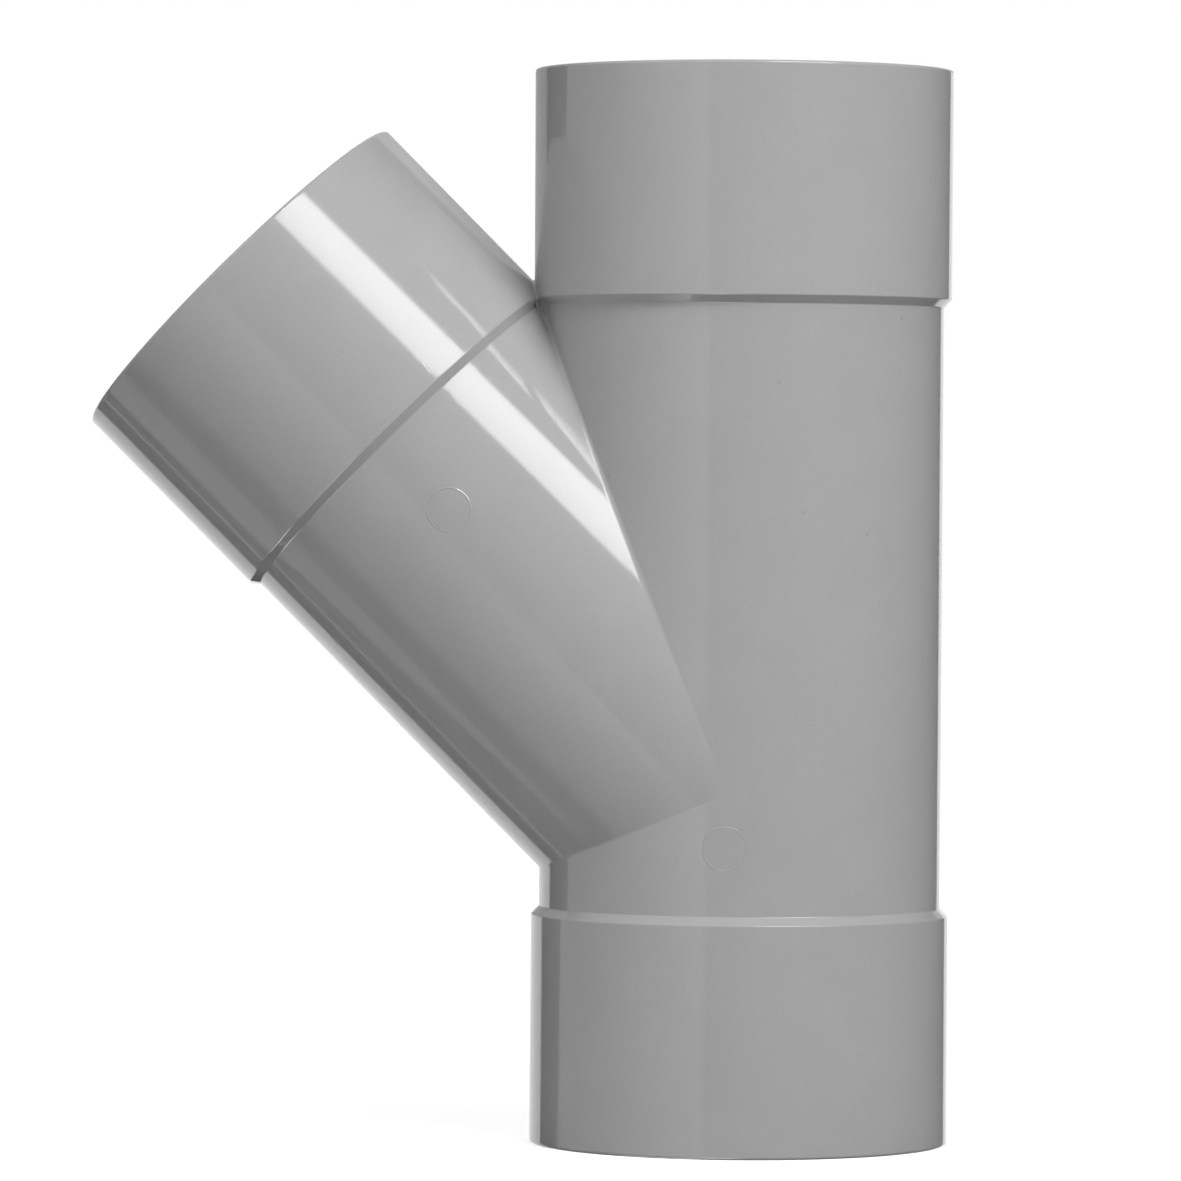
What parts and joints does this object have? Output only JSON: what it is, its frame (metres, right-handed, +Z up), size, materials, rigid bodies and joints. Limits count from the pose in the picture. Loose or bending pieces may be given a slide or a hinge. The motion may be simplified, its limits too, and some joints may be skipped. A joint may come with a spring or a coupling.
{
  "type": "lateral wye pipe fitting",
  "caption": "Lateral wye pipe fitting in grey plastic: a straight run socketed at both ends and a socketed branch leaning off it at 45 degrees, for solvent-welded pipe.",
  "frame": {"origin": "on the run's axis, in the plane of the lower mouth that the fitting stands on", "axes": "+Z up along the run's axis towards the upper mouth, the branch leaning up towards -X, and both axes in the XZ plane"},
  "size_m": [0.241, 0.117, 0.2998],
  "materials": {
    "grey_plastic": "smooth moulded grey PVC with a soft gloss, coloured all through"
  },
  "bodies": {
    "root": {"wye_body": "grey_plastic"}
  },
  "joints": []
}
